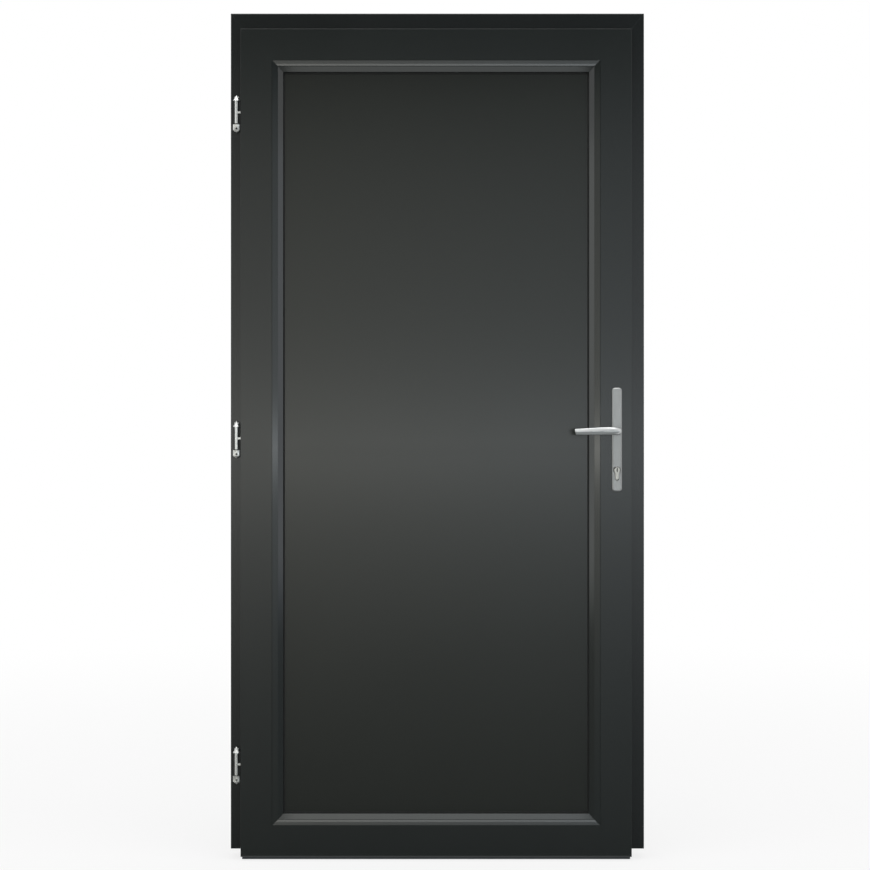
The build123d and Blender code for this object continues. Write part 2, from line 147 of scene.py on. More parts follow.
@dataclass(frozen=True)
class Finish:
    """A finish with two close tints, a gloss that varies and a fine relief.

    On a moulded surface, gloss and tint vary slowly together. On a metal, stretched grain cuts
    the relief and varies the gloss, and its tint changes in patches.
    """

    name: str
    colour: str
    second_colour: str
    roughness: float
    spread: float
    tint_mm: float
    relief_mm: float
    height_mm: float
    stretch: tuple[float, float, float] = (1.0, 1.0, 1.0)
    ior: float = 1.5
    metal: bool = False

    def build(self) -> bpy.types.Material:
        """Make the material from two noises, for the tint and for the relief.

        Returns:
            The new material.
        """
        material, tree = blank_material(self.name)
        place = add_node(tree, "ShaderNodeTexCoord").outputs["Object"]
        drawn = add_node(
            tree, "ShaderNodeMapping", {"Scale": self.stretch}, {"Vector": place}
        ).outputs["Vector"]
        tint, relief = (
            add_node(
                tree,
                "ShaderNodeTexNoise",
                {"Scale": 1 / (size_mm * MM), "Detail": detail},
                {"Vector": vector},
            ).outputs["Fac"]
            for size_mm, detail, vector in (
                (self.tint_mm, 2.0 if self.metal else 3.0, place if self.metal else drawn),
                (self.relief_mm, 3.0 if self.metal else 2.0, drawn),
            )
        )
        first, second = linear_colour(self.colour), linear_colour(self.second_colour)
        colour = add_node(
            tree, "ShaderNodeMix", {"data_type": "RGBA", 6: first, 7: second}, {0: tint}
        ).outputs[2]
        roughness = add_node(
            tree,
            "ShaderNodeMapRange",
            {"To Min": self.roughness - self.spread, "To Max": self.roughness + self.spread},
            {"Value": relief if self.metal else tint},
        ).outputs["Result"]
        normal = add_node(
            tree,
            "ShaderNodeBump",
            {"Strength": 1.0, "Distance": self.height_mm * MM},
            {"Height": relief},
        ).outputs["Normal"]
        shader = add_node(
            tree,
            "ShaderNodeBsdfPrincipled",
            {"Metallic": 1.0} if self.metal else {"IOR": self.ior},
            {"Base Color": colour, "Roughness": roughness, "Normal": normal},
        )
        add_node(tree, "ShaderNodeOutputMaterial", links={"Surface": shader.outputs["BSDF"]})
        return material


# Co-extruded rigid PVC, dark grey through its skin: satin, slowly wavy from its calibrators
FRAME_PLASTIC = Finish(
    "frame_pvc_extruded_satin", "121717", "141919", roughness=0.21, spread=0.02,
    tint_mm=240.0, relief_mm=14.0, height_mm=0.010, stretch=(1.0, 1.0, 0.25),
)
LEAF_PLASTIC = Finish(
    "leaf_pvc_extruded_satin", "191e1d", "1b201f", roughness=0.20, spread=0.02,
    tint_mm=240.0, relief_mm=14.0, height_mm=0.010, stretch=(1.0, 1.0, 0.25),
)
# Bead profile from the same compound, glossier because it is drawn slower
BEAD_PLASTIC = Finish(
    "bead_pvc_extruded_satin", "191e1d", "1b201f", roughness=0.12, spread=0.015,
    tint_mm=200.0, relief_mm=10.0, height_mm=0.006, ior=1.54,
)
# Pressed PVC skin of the foam-cored panel: flat and even, with a broad soft sheen
PANEL_PLASTIC = Finish(
    "panel_pvc_pressed_satin", "1a1e1a", "1c201c", roughness=0.20, spread=0.02,
    tint_mm=320.0, relief_mm=18.0, height_mm=0.012,
)
# Extruded EPDM seal: black and matte, with a dusty bloom
SEAL_RUBBER = Finish(
    "seal_epdm_extruded_matte", "111212", "161716", roughness=0.78, spread=0.05,
    tint_mm=40.0, relief_mm=2.0, height_mm=0.05, ior=1.52,
)
# Injection-moulded black ABS end blocks, matte and finely grained, also the painted shade inside
# the keyway
BLOCK_PLASTIC_AND_KEYWAY_SHADE = Finish(
    "block_abs_moulded_matte_and_keyway_shade", "161616", "1b1b1b", roughness=0.6, spread=0.05,
    tint_mm=20.0, relief_mm=2.0, height_mm=0.04,
)
# Powder-coated steel plate, with the orange peel of baked powder
PLATE_POWDER = Finish(
    "hinge_plate_steel_powder_coated", "232626", "292c2c", roughness=0.45, spread=0.05,
    tint_mm=25.0, relief_mm=3.0, height_mm=0.03,
)
# Anodised aluminium, tumbled and satin: soft highlights, with a grain too fine to see, so coarser
HANDLE_ALUMINIUM = Finish(
    "handle_aluminium_anodised_satin", "c7c9c9", "d0d2d1", roughness=0.40, spread=0.06,
    tint_mm=30.0, relief_mm=0.6, height_mm=0.004, stretch=(0.12, 1.0, 1.0), metal=True,
)
PLATE_ALUMINIUM = Finish(
    "handle_plate_aluminium_anodised_satin", "a8a9a9", "b0b1b0", roughness=0.46, spread=0.06,
    tint_mm=30.0, relief_mm=0.6, height_mm=0.004, stretch=(1.0, 1.0, 0.08), metal=True,
)
# Zinc die casting with a bright silver lacquer, nearly white under soft light
HINGE_ZINC = Finish(
    "hinge_zinc_cast_silver_lacquer", "d6d7d5", "dedfdd", roughness=0.36, spread=0.06,
    tint_mm=30.0, relief_mm=1.0, height_mm=0.006, stretch=(1.0, 1.0, 0.3), metal=True,
)
# Nickel-plated brass: a warm grey with a fine turned grain
CYLINDER_NICKEL = Finish(
    "cylinder_brass_nickel_plated", "aaa8a2", "b4b2ab", roughness=0.30, spread=0.06,
    tint_mm=12.0, relief_mm=0.4, height_mm=0.004, stretch=(1.0, 0.1, 1.0), metal=True,
)
# Zinc-plated steel strip: pale grey with rolling lines
LOCK_STEEL = Finish(
    "lock_steel_zinc_plated", "b3b4b2", "bdbebb", roughness=0.38, spread=0.06,
    tint_mm=20.0, relief_mm=0.8, height_mm=0.006, stretch=(1.0, 1.0, 0.05), metal=True,
)
# Sill of extruded aluminium, anodised dark like the door, with lengthwise die lines
SILL_ALUMINIUM = Finish(
    "sill_aluminium_anodised_dark", "34383a", "3a3e40", roughness=0.42, spread=0.06,
    tint_mm=60.0, relief_mm=0.8, height_mm=0.010, stretch=(0.02, 1.0, 1.0), metal=True,
)


def body_of_node(node: str) -> str:
    """Name of the body that a CAD node belongs to."""
    bodies = frame["record"]["behaviour"]["bodies"]
    return next(body for body, nodes in bodies.items() if node in nodes)


def deselect_all() -> None:
    """Leave edit mode and select nothing."""
    if bpy.context.object and bpy.context.object.mode != "OBJECT":
        bpy.ops.object.mode_set(mode="OBJECT")
    bpy.ops.object.select_all(action="DESELECT")


def activate(piece: bpy.types.Object) -> None:
    """Select one object alone and make it active.

    Args:
        piece: The object to select.
    """
    deselect_all()
    piece.select_set(True)
    bpy.context.view_layer.objects.active = piece


def new_primitive(
    name: str, operator: Callable[..., set[str]], **size: object
) -> bpy.types.Object:
    """Add a primitive at its size and place, with its transform applied.

    Args:
        name: The new object's name.
        operator: One of the primitive operators.
        size: The operator's own options.

    Returns:
        The new object, active and selected.
    """
    deselect_all()
    operator(**size)
    piece = bpy.context.object
    piece.name = name
    piece.data.name = name
    bpy.ops.object.transform_apply(location=True, rotation=True, scale=True)
    return piece


def move_vertices(
    piece: bpy.types.Object,
    wanted: Callable[[Vector], bool],
    operator: Callable[..., set[str]],
    **change: object,
) -> None:
    """Select the vertices whose place a test picks, and no others, and move them.

    Args:
        piece: The mesh object to work on.
        wanted: Says for a place whether its vertex moves.
        operator: One of the transform operators.
        change: The operator's own options.
    """
    activate(piece)
    bpy.ops.object.mode_set(mode="EDIT")
    bpy.ops.mesh.select_mode(type="VERT")
    bpy.ops.mesh.select_all(action="DESELECT")
    bpy.ops.object.mode_set(mode="OBJECT")
    for vertex in piece.data.vertices:
        vertex.select = wanted(vertex.co)
    bpy.ops.object.mode_set(mode="EDIT")
    operator(**change)
    bpy.ops.object.mode_set(mode="OBJECT")


def apply_modifier(piece: bpy.types.Object, kind: str, **settings: object) -> None:
    """Add a modifier with its settings and apply it at once.

    Args:
        piece: The object to change.
        kind: Blender's name of the modifier's type.
        settings: Attributes of the modifier.
    """
    activate(piece)
    modifier = piece.modifiers.new(kind.lower(), kind)
    for key, value in settings.items():
        setattr(modifier, key, value)
    bpy.ops.object.modifier_apply(modifier=modifier.name)


def soften(
    piece: bpy.types.Object, width_mm: float, segments: int = 2, angle_deg: float = EDGE_DEG
) -> None:
    """Bevel the sharp edges of a piece and shade it smooth across its round ones.

    Args:
        piece: The object to finish.
        width_mm: Width of the bevel in millimetres.
        segments: Steps across the bevel.
        angle_deg: Edges sharper than this are bevelled.
    """
    apply_modifier(
        piece,
        "BEVEL",
        width=width_mm * MM,
        segments=segments,
        limit_method="ANGLE",
        angle_limit=math.radians(angle_deg),
        use_clamp_overlap=True,
        harden_normals=False,
    )
    activate(piece)
    bpy.ops.object.shade_smooth_by_angle(angle=math.radians(SMOOTH_DEG))
    apply_modifier(piece, "WEIGHTED_NORMAL", keep_sharp=True, weight=100)


def finish_piece(
    piece: bpy.types.Object, body: str, material: bpy.types.Material
) -> None:
    """Dress a finished piece and let it ride on its body.

    Args:
        piece: The finished object.
        body: The CAD body that carries it.
        material: The material that it wears.
    """
    piece.data.materials.clear()
    piece.data.materials.append(material)
    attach(piece, body)
    LOG.info("%s rides on %s", piece.name, body)


def softened_copy(
    node: str,
    width_mm: float,
    segments: int = 2,
    reshape: Callable[[bpy.types.Object], None] | None = None,
) -> bpy.types.Object:
    """Copy a CAD node's mesh, merge its loose triangles to faces and soften its edges.

    Args:
        node: Name of the CAD node.
        width_mm: Width of the bevel in millimetres.
        segments: Steps across the bevel.
        reshape: Changes the merged copy before its edges are softened.

    Returns:
        The new object, which takes the node's place.
    """
    piece = bpy.data.objects.new(f"{node}_finished", frame["nodes"][node].data.copy())
    bpy.context.scene.collection.objects.link(piece)
    activate(piece)
    bpy.ops.mesh.customdata_custom_splitnormals_clear()
    bpy.ops.object.mode_set(mode="EDIT")
    bpy.ops.mesh.select_all(action="SELECT")
    bpy.ops.mesh.remove_doubles(threshold=MERGE_MM * MM)
    bpy.ops.mesh.dissolve_limited(angle_limit=math.radians(FLAT_DEG))
    bpy.ops.object.mode_set(mode="OBJECT")
    if reshape is not None:
        reshape(piece)
    soften(piece, width_mm, segments)
    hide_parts(node)
    return piece


def finish_node(
    node: str,
    width_mm: float,
    material: bpy.types.Material,
    segments: int = 2,
    reshape: Callable[[bpy.types.Object], None] | None = None,
) -> None:
    """Put a softened and dressed copy in a CAD node's place, on the body that carries the node.

    Args:
        node: Name of the CAD node.
        width_mm: Width of the bevel in millimetres.
        material: The material that the copy wears.
        segments: Steps across the bevel.
        reshape: Changes the merged copy before its edges are softened.
    """
    piece = softened_copy(node, width_mm, segments, reshape)
    finish_piece(piece, body_of_node(node), material)


@dataclass
class Profiles:
    """The welded plastic profiles of frame and leaf, the beads and the panel.

    Inwards from its outer edge, a bead's face is a lip, a flange, a band and a slope to the toe.
    Each is given by how far from that edge it ends, the toe by where it starts.
    """

    frame_edge_mm: float = 0.7
    leaf_edge_mm: float = 0.25
    corner_reach_mm: float = 2.7
    corner_share: float = 0.35
    bead_edge_mm: float = 0.3
    lip_mm: float = 0.5
    flange_mm: float = 8.5
    flange_tilt_deg: float = 7.8
    band_mm: float = 14.0
    band_tilt_deg: float = 9.3
    slope_tilt_deg: float = 40.0
    toe_mm: float = 25.3
    toe_depth_mm: float = 10.0
    row_tolerance_mm: float = 0.006
    depth_tolerance_mm: float = 0.001
    panel_edge_mm: float = 0.5

    def build(self) -> None:
        """Finish every profile and the panel: where members meet, their edges leave a hairline."""
        frame_plastic = FRAME_PLASTIC.build()
        leaf_plastic = LEAF_PLASTIC.build()
        bead_plastic = BEAD_PLASTIC.build()
        panel_plastic = PANEL_PLASTIC.build()
        for node in ("frame_jamb_hinge", "frame_jamb_lock", "frame_head"):
            finish_node(node, self.frame_edge_mm, frame_plastic)
        for node in ("leaf_stile_hinge", "leaf_stile_lock", "leaf_rail_top", "leaf_rail_bottom"):
            edge, reshape = self.leaf_edge_mm, self.tighten_corners
            finish_node(node, edge, leaf_plastic, reshape=reshape)
        for node in ("bead_hinge", "bead_lock", "bead_top", "bead_bottom"):
            edge, reshape = self.bead_edge_mm, self.crown_bead
            finish_node(node, edge, bead_plastic, reshape=reshape)
        finish_node("door_panel", self.panel_edge_mm, panel_plastic)

    def tighten_corners(self, member: bpy.types.Object) -> None:
        """Tighten the rounding of the leaf's outer edge at the ends that are corners of the leaf.

        Args:
            member: The merged copy of a stile or a rail.
        """
        left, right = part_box("leaf_stile_hinge")[0].x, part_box("leaf_stile_lock")[1].x
        bottom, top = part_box("leaf_rail_bottom")[0].z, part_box("leaf_rail_top")[1].z
        face_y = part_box("leaf_rail_top")[0].y
        for corner in (Vector((x, face_y, z)) for x in (left, right) for z in (bottom, top)):
            if not any(self.is_near(vertex.co, corner) for vertex in member.data.vertices):
                continue
            move_vertices(
                member,
                lambda place: self.is_near(place, corner),
                bpy.ops.transform.resize,
                value=(self.corner_share,) * 3,
                center_override=corner,
            )

    def is_near(self, place: Vector, corner: Vector) -> bool:
        """Whether a place belongs to the rounding at a corner of the leaf."""
        return max(map(abs, place - corner)) < self.corner_reach_mm * MM

    def crown_bead(self, bead: bpy.types.Object) -> None:
        """Crown a bead's face: flange and band lean slightly, then a slope goes down to the toe.

        Args:
            bead: The merged copy of one bead.
        """
        panel_low, panel_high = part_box("door_panel")
        centre = (panel_low + panel_high) / 2
        places = [vertex.co for vertex in bead.data.vertices]
        width, height = (
            max(p[axis] for p in places) - min(p[axis] for p in places) for axis in (0, 2)
        )
        across = 0 if height > width else 2
        reach = max(abs(p[across] - centre[across]) for p in places)
        front = min(p.y for p in places)

        def inwards(place: Vector) -> float:
            """Distance of a place from the bead's outer edge, in millimetres."""
            return (reach - abs(place[across] - centre[across])) / MM

        def on_face(place: Vector) -> bool:
            """Whether a place is on the bead's face and not on its back."""
            return place.y < front + self.toe_depth_mm * MM

        face = [(inwards(p), (p.y - front) / MM) for p in places if on_face(p)]
        toe_row, toe_depth = min(point for point in face if point[0] > self.toe_mm)
        toe_drop = self.crown_depth_mm(toe_row) - toe_depth
        self.sink(bead, lambda place: on_face(place) and inwards(place) > self.toe_mm, toe_drop)
        rows = {(round(row, 2), depth) for row, depth in face if self.lip_mm < row < self.toe_mm}
        for row, depth in sorted(rows):
            self.sink(
                bead,
                lambda place: abs(inwards(place) - row) < self.row_tolerance_mm
                and abs((place.y - front) / MM - depth) < self.depth_tolerance_mm,
                self.crown_depth_mm(row) - depth,
            )

    def sink(
        self, bead: bpy.types.Object, wanted: Callable[[Vector], bool], drop_mm: float
    ) -> None:
        """Move the chosen vertices of a bead back from its face, by a drop in millimetres."""
        drop = (0.0, drop_mm * MM, 0.0)
        move_vertices(bead, wanted, bpy.ops.transform.translate, value=drop)

    def crown_depth_mm(self, row: float) -> float:
        """Depth of the crowned face behind its front.

        Args:
            row: Distance from the bead's outer edge, in millimetres.

        Returns:
            The depth in millimetres.
        """
        widths = (
            min(row, self.flange_mm) - self.lip_mm,
            max(min(row, self.band_mm) - self.flange_mm, 0.0),
            max(row - self.band_mm, 0.0),
        )
        tilts = (self.flange_tilt_deg, self.band_tilt_deg, self.slope_tilt_deg)
        return sum(width * math.tan(math.radians(tilt)) for width, tilt in zip(widths, tilts))


@dataclass
class Seals:
    """The rubber seals of frame, leaf and panel."""

    edge_mm: float = 0.8

    def build(self) -> None:
        """Round the seals' edges and dress them in matte rubber."""
        rubber = SEAL_RUBBER.build()
        for node in ("frame_gasket", "leaf_gasket", "panel_gasket_inside", "panel_gasket_outside"):
            finish_node(node, self.edge_mm, rubber, segments=3)


@dataclass
class Threshold:
    """The aluminium sill under the leaf, with its plastic end blocks."""

    edge_mm: float = 0.6
    rib_width_mm: float = 2.0
    rib_height_mm: float = 0.9
    rib_edge_mm: float = 0.3
    rib_pitch_mm: float = 8.0
    rib_count: int = 6

    def build(self) -> None:
        """Finish the sill and lay grip ribs on its low part."""
        aluminium = SILL_ALUMINIUM.build()
        blocks = BLOCK_PLASTIC_AND_KEYWAY_SHADE.build()
        finish_node("threshold", self.edge_mm, aluminium)
        for node in ("threshold_block_hinge", "threshold_block_lock"):
            finish_node(node, self.edge_mm, blocks)
        finish_piece(self.ribs(), "frame", aluminium)

    def ribs(self) -> bpy.types.Object:
        """Model the grip ribs that run along the sill.

        Returns:
            All the ribs as one object.
        """
        low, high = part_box("threshold")
        block_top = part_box("threshold_block_hinge")[0].z
        length = high.x - low.x - 2 * self.rib_pitch_mm * MM
        first_y = low.y + self.rib_pitch_mm * MM
        rib = new_primitive(
            "threshold_ribs",
            bpy.ops.mesh.primitive_cube_add,
            size=1.0,
            location=((low.x + high.x) / 2, first_y, block_top + self.rib_height_mm * MM / 2),
            scale=(length, self.rib_width_mm * MM, self.rib_height_mm * MM),
        )
        apply_modifier(
            rib,
            "ARRAY",
            count=self.rib_count,
            use_relative_offset=False,
            use_constant_offset=True,
            constant_offset_displace=(0.0, self.rib_pitch_mm * MM, 0.0),
        )
        soften(rib, self.rib_edge_mm)
        return rib


@dataclass
class Screw:
    """A countersunk screw with a cross recess."""

    head_radius_mm: float = 3.6
    head_height_mm: float = 0.7
    recess_width_mm: float = 1.0
    recess_length_mm: float = 4.2
    recess_depth_mm: float = 1.6
    edge_mm: float = 0.12

    def build(self, name: str, centre: Vector, outward: Vector) -> bpy.types.Object:
        """Model the visible head of one screw.

        Args:
            name: The new object's name.
            centre: Middle of the head on the surface that it sits in, in metres.
            outward: Direction in which the head faces.

        Returns:
            The finished head.
        """
        turn = outward.to_track_quat("Z", "Y").to_euler()
        sunk = 2 * self.head_height_mm * MM
        head = new_primitive(
            name,
            bpy.ops.mesh.primitive_cylinder_add,
            vertices=32,
            radius=self.head_radius_mm * MM,
            depth=2 * sunk,
            location=centre + outward * (self.head_height_mm * MM - sunk),
            rotation=turn,
        )
        for width, length in (
            (self.recess_width_mm, self.recess_length_mm),
            (self.recess_length_mm, self.recess_width_mm),
        ):
            cutter = new_primitive(
                f"{name}_cutter",
                bpy.ops.mesh.primitive_cube_add,
                size=1.0,
                location=centre + outward * self.head_height_mm * MM,
                rotation=turn,
                scale=(width * MM, length * MM, self.recess_depth_mm * MM),
            )
            apply_modifier(head, "BOOLEAN", object=cutter, operation="DIFFERENCE", solver="EXACT")
            bpy.data.objects.remove(cutter)
        soften(head, self.edge_mm, angle_deg=TURNED_EDGE_DEG)
        return head


@dataclass
class Lock:
    """The strip, bolts, cylinder and strike plate of the lock."""

    edge_mm: float = 0.4
    screw: Screw = field(default_factory=Screw)
    screw_inset_mm: float = 11.0
    cylinder_gap_mm: float = 1.5
    plug_radius_mm: float = 6.2
    plug_proud_mm: float = 0.6
    plug_edge_mm: float = 0.15
    keyway_width_mm: float = 2.4
    keyway_height_mm: float = 9.4
    keyway_depth_mm: float = 0.5
    keyway_margin_mm: float = 0.2
    face_margin_mm: float = 0.1

    def build(self) -> None:
        """Finish the lock's metal parts and add its screws and plugs."""
        steel = LOCK_STEEL.build()
        nickel = CYLINDER_NICKEL.build()
        for node in ("lock_faceplate", "latch_bolt", "dead_bolt", "strike_plate", "spindle"):
            finish_node(node, self.edge_mm, steel)
        self.add_screws("lock_faceplate", Vector((1, 0, 0)), steel)
        self.add_screws("strike_plate", Vector((-1, 0, 0)), steel)
        finish_piece(self.cylinder(), "leaf", nickel)
        # Black paint in each keyway stands in for the shade of a deep slot
        black = BLOCK_PLASTIC_AND_KEYWAY_SHADE.build()
        for side in Side:
            plug = self.plug(side)
            finish_piece(plug, "leaf", nickel)
            self.shade_keyway(plug, side, black)

    def cylinder(self) -> bpy.types.Object:
        """Finish the cylinder, slimmer than its openings, which leaves a dark gap round it.

        Returns:
            The finished cylinder.
        """
        cylinder = softened_copy("lock_cylinder", self.edge_mm)
        low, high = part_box("lock_cylinder")
        slimmer = 2 * self.cylinder_gap_mm * MM
        move_vertices(
            cylinder,
            lambda place: True,
            bpy.ops.transform.resize,
            value=(1 - slimmer / (high.x - low.x), 1.0, 1 - slimmer / (high.z - low.z)),
            center_override=(low + high) / 2,
        )
        return cylinder

    def shade_keyway(
        self, plug: bpy.types.Object, side: Side, black: bpy.types.Material
    ) -> None:
        """Paint the inside of the shallow keyway black: painted shade for a deep slot, whose floor
        no light reaches.

        Args:
            plug: The finished plug.
            side: The face of the door that it is on.
            black: The black that paints the keyway's shade.
        """
        plug.data.materials.append(black)
        centre = self.plug_centre(side)
        half_width = (self.keyway_width_mm / 2 + self.keyway_margin_mm) * MM
        half_height = (self.keyway_height_mm / 2 + self.keyway_margin_mm) * MM
        proud = (self.plug_proud_mm - self.face_margin_mm) * MM
        for face in plug.data.polygons:
            beside, behind, above = map(abs, face.center - centre)
            if beside < half_width and above < half_height and behind < proud:
                face.material_index = 1

    def plug_centre(self, side: Side) -> Vector:
        """Middle of the cylinder's round part on one of its faces.

        Args:
            side: The face of the door that it is on.

        Returns:
            The place, in metres.
        """
        low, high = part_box("lock_cylinder")
        face_y = high.y if side is Side.OUTDOORS else low.y
        return Vector(((low.x + high.x) / 2, face_y, high.z - (high.x - low.x) / 2))

    def add_screws(self, strip: str, outward: Vector, material: bpy.types.Material) -> None:
        """Put a screw near each end of a strip.

        Args:
            strip: The CAD node that holds the screws.
            outward: Direction in which the strip faces.
            material: The screws' material.
        """
        low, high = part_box(strip)
        face_x = high.x if outward.x > 0 else low.x
        inset = self.screw_inset_mm * MM
        for place, height in (("lower", low.z + inset), ("upper", high.z - inset)):
            centre = Vector((face_x, (low.y + high.y) / 2, height))
            head = self.screw.build(f"{strip}_screw_{place}", centre, outward)
            finish_piece(head, body_of_node(strip), material)

    def plug(self, side: Side) -> bpy.types.Object:
        """Model the turning plug in one face of the cylinder, with its keyway.

        Args:
            side: The face of the door that it is on.

        Returns:
            The finished plug.
        """
        centre = self.plug_centre(side)
        proud = self.plug_proud_mm * MM
        plug = new_primitive(
            f"cylinder_plug_{side.name.lower()}",
            bpy.ops.mesh.primitive_cylinder_add,
            vertices=48,
            radius=self.plug_radius_mm * MM,
            depth=2 * proud,
            location=centre,
            rotation=(math.pi / 2, 0.0, 0.0),
        )
        keyway = new_primitive(
            "keyway_cutter",
            bpy.ops.mesh.primitive_cube_add,
            size=1.0,
            location=centre + Vector((0.0, side.value * proud, 0.0)),
            scale=(
                self.keyway_width_mm * MM,
                2 * self.keyway_depth_mm * MM,
                self.keyway_height_mm * MM,
            ),
        )
        apply_modifier(plug, "BOOLEAN", object=keyway, operation="DIFFERENCE", solver="EXACT")
        bpy.data.objects.remove(keyway)
        soften(plug, self.plug_edge_mm, angle_deg=TURNED_EDGE_DEG)
        return plug


@dataclass
class Handles:
    """The lever handles on both faces, with their long plates.

    Each station of the grip is a share of its length, its half height and its half depth in
    millimetres.
    """

    neck_radius_mm: float = 9.8
    bearing_radius_mm: float = 7.9
    collar_mm: float = 0.5
    bend_radius_mm: float = 10.8
    bend_steps: int = 6
    section_points: int = 12
    front_margin_mm: float = 0.5
    tip_inset_mm: float = 1.4
    tip_lean_deg: float = 9.0
    stations: tuple[tuple[float, float, float], ...] = (
        (0.20, 9.9, 6.0),
        (0.45, 9.1, 5.3),
        (0.72, 8.3, 5.1),
        (0.97, 7.7, 5.0),
    )
    ridge_rise_mm: float = 0.5
    facet_drop_mm: float = 0.7
    ridge_crease: float = 0.55
    grip_margin_mm: float = 1.0
    plate_edge_mm: float = 0.9

    def build(self) -> None:
        """Model both levers and finish both plates."""
        lever_metal = HANDLE_ALUMINIUM.build()
        plate_metal = PLATE_ALUMINIUM.build()
        for side, place in ((Side.ROOM, "inside"), (Side.OUTDOORS, "outside")):
            lever = self.lever(side, f"lever_{place}")
            finish_piece(lever, "handle", lever_metal)
            plate = f"handle_plate_{place}"
            finish_node(plate, self.plate_edge_mm, plate_metal)

    def lever(self, side: Side, node: str) -> bpy.types.Object:
        """Model one lever: a round neck out of the plate, bent into a flattened grip.

        Args:
            side: The face of the door that it is on.
            node: The CAD node that it stands for.

        Returns:
            The finished lever.
        """
        low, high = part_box(node)
        plate_low, plate_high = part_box(node.replace("lever", "handle_plate"))
        outward = side.value
        plate_back = plate_high.y if side is Side.ROOM else plate_low.y
        plate_face = plate_low.y if side is Side.ROOM else plate_high.y
        front = (low.y if side is Side.ROOM else high.y) - outward * self.front_margin_mm * MM
        axis_x = (plate_low.x + plate_high.x) / 2
        axis_z = (low.z + high.z) / 2
        lever = new_primitive(
            f"{node}_finished",
            bpy.ops.mesh.primitive_circle_add,
            vertices=self.section_points,
            radius=self.bearing_radius_mm * MM,
            fill_type="NGON",
            location=(axis_x, plate_back, axis_z),
            rotation=(math.pi / 2, 0.0, 0.0),
        )
        bend = self.bend_radius_mm * MM
        grip_y = front - outward * self.neck_radius_mm * MM
        bend_start = grip_y - outward * bend
        collar = plate_face + outward * self.collar_mm * MM
        bpy.ops.object.mode_set(mode="EDIT")
        bpy.ops.mesh.select_all(action="SELECT")
        self.pull((0.0, collar - plate_back, 0.0))
        self.widen(axis_x, collar, axis_z, self.neck_radius_mm / self.bearing_radius_mm)
        self.pull((0.0, (bend_start - collar) / 2, 0.0))
        self.pull((0.0, (bend_start - collar) / 2, 0.0))
        bpy.ops.mesh.spin(
            steps=self.bend_steps,
            angle=-math.pi / 2 * outward,
            center=(axis_x - bend, bend_start, axis_z),
            axis=(0.0, 0.0, 1.0),
        )
        self.draw_grip(Vector((axis_x - bend, grip_y, axis_z)), low, front, outward)
        bpy.ops.mesh.select_all(action="SELECT")
        bpy.ops.mesh.normals_make_consistent(inside=False)
        self.shape_facets(lever, axis_x - bend, outward)
        apply_modifier(lever, "SUBSURF", levels=2, render_levels=2)
        activate(lever)
        bpy.ops.object.shade_smooth()
        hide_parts(node)
        return lever

    def pull(self, step: tuple[float, float, float]) -> None:
        """Extrude the selected end face by a step."""
        bpy.ops.mesh.extrude_region_move(TRANSFORM_OT_translate={"value": step})

    def widen(self, x: float, y: float, z: float, factor: float) -> None:
        """Extrude a step in the radius of the end face, which lies across Y."""
        self.pull((0.0, 0.0, 0.0))
        bpy.ops.transform.resize(value=(factor, 1.0, factor), center_override=(x, y, z))

    def draw_grip(self, start: Vector, low: Vector, front: float, outward: int) -> None:
        """Draw the end face out to the tip, flatter and lower at each station.

        Args:
            start: Centre of the end face where the bend ends.
            low: Lowest corner of the CAD lever: its x is the tip, its z the level lower edge.
            front: Y of the grip's front.
            outward: Sign of the outward direction.
        """
        length = start.x - low.x
        centre = start.copy()
        half_height = half_depth = self.neck_radius_mm * MM
        for share, height_mm, depth_mm in self.stations:
            next_half, next_depth = height_mm * MM, depth_mm * MM
            goal = Vector(
                (start.x - length * share, front - outward * next_depth, low.z + next_half)
            )
            self.pull(tuple(goal - centre))
            bpy.ops.transform.resize(
                value=(1.0, next_depth / half_depth, next_half / half_height),
                center_override=goal,
            )
            centre, half_height, half_depth = goal, next_half, next_depth
        bpy.ops.transform.rotate(
            value=math.radians(self.tip_lean_deg), orient_axis="Y", center_override=centre
        )
        inset = self.tip_inset_mm * MM
        step = (low.x - centre.x) / 2
        self.pull((step, 0.0, 0.0))
        self.pull((step, 0.0, 0.0))
        bpy.ops.transform.resize(
            value=(1.0, 1 - inset / half_depth, 1 - inset / half_height),
            center_override=(low.x, centre.y, centre.z),
        )

    def shape_facets(self, lever: bpy.types.Object, grip_x: float, outward: int) -> None:
        """Raise the ridge along the grip's front and flatten the two facets beside it.

        Args:
            lever: The lever, in edit mode.
            grip_x: Where the grip starts.
            outward: Sign of the outward direction.
        """
        for row, rise_mm in ((0, self.ridge_rise_mm), (1, -self.facet_drop_mm)):
            self.select_row(lever, grip_x, outward, row)
            bpy.ops.transform.translate(value=(0.0, outward * rise_mm * MM, 0.0))
        self.select_row(lever, grip_x, outward, 0)
        bpy.ops.mesh.select_mode(type="EDGE")
        bpy.ops.transform.edge_crease(value=self.ridge_crease)
        bpy.ops.object.mode_set(mode="OBJECT")

    def select_row(
        self, lever: bpy.types.Object, grip_x: float, outward: int, row: int
    ) -> None:
        """Select the grip's front vertices that lie a row above and below its ridge, or on it.

        Args:
            lever: The lever.
            grip_x: Where the grip starts.
            outward: Sign of the outward direction.
            row: 0 for the ridge itself, 1 for the rows beside it.
        """
        bpy.ops.object.mode_set(mode="EDIT")
        bpy.ops.mesh.select_mode(type="VERT")
        bpy.ops.mesh.select_all(action="DESELECT")
        bpy.ops.object.mode_set(mode="OBJECT")
        sections: dict[int, list[bpy.types.MeshVertex]] = {}
        for vertex in lever.data.vertices:
            if vertex.co.x < grip_x - self.grip_margin_mm * MM:
                sections.setdefault(vertex.index // self.section_points, []).append(vertex)
        for section in sections.values():
            ranked = sorted(section, key=lambda vertex: -outward * vertex.co.y)
            chosen = ranked[:1] if row == 0 else ranked[2 * row - 1:2 * row + 1]
            for vertex in chosen:
                vertex.select = True
        bpy.ops.object.mode_set(mode="EDIT")


